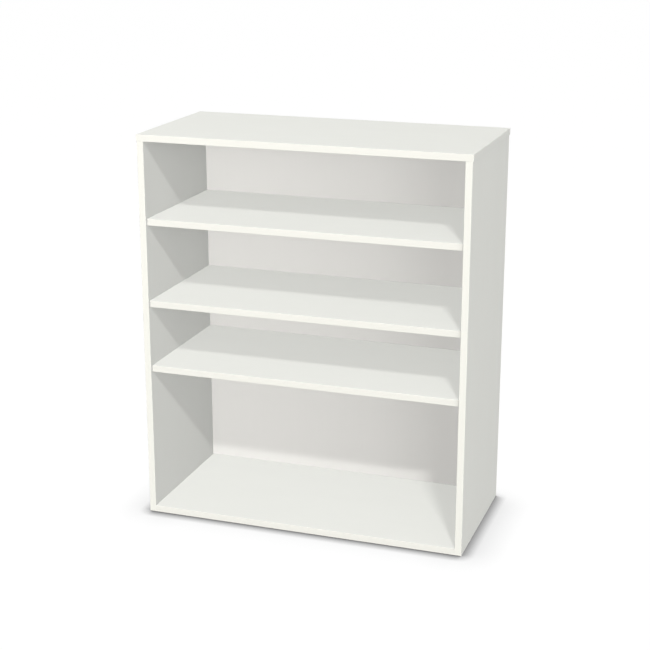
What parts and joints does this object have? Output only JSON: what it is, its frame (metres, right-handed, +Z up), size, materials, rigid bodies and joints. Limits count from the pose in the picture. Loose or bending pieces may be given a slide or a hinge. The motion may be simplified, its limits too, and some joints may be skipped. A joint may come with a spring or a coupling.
{
  "type": "miniature bookcase",
  "caption": "Dolls' house bookcase in thin painted sheet, with fixed shelves housed in the sides and a back panel let into rebates.",
  "frame": {"origin": "on the floor, below the middle of the bookcase's width and depth", "axes": "+Z up, +X to the right of someone facing the shelves, +Y from the open front to the rear"},
  "size_m": [0.0804, 0.0372, 0.0949],
  "materials": {
    "board_paint": "satin white paint over fine-grained sheet wood",
    "back_paint": "satin white paint over thin plywood",
    "dowel_wood": "bare turned hardwood"
  },
  "bodies": {
    "root": {"top_panel": "board_paint", "bottom_panel": "board_paint", "left_side_panel": "board_paint", "right_side_panel": "board_paint", "upper_shelf": "board_paint", "middle_shelf": "board_paint", "lower_shelf": "board_paint", "back_panel": "back_paint", "top_dowels": "dowel_wood", "bottom_dowels": "dowel_wood"}
  },
  "joints": []
}
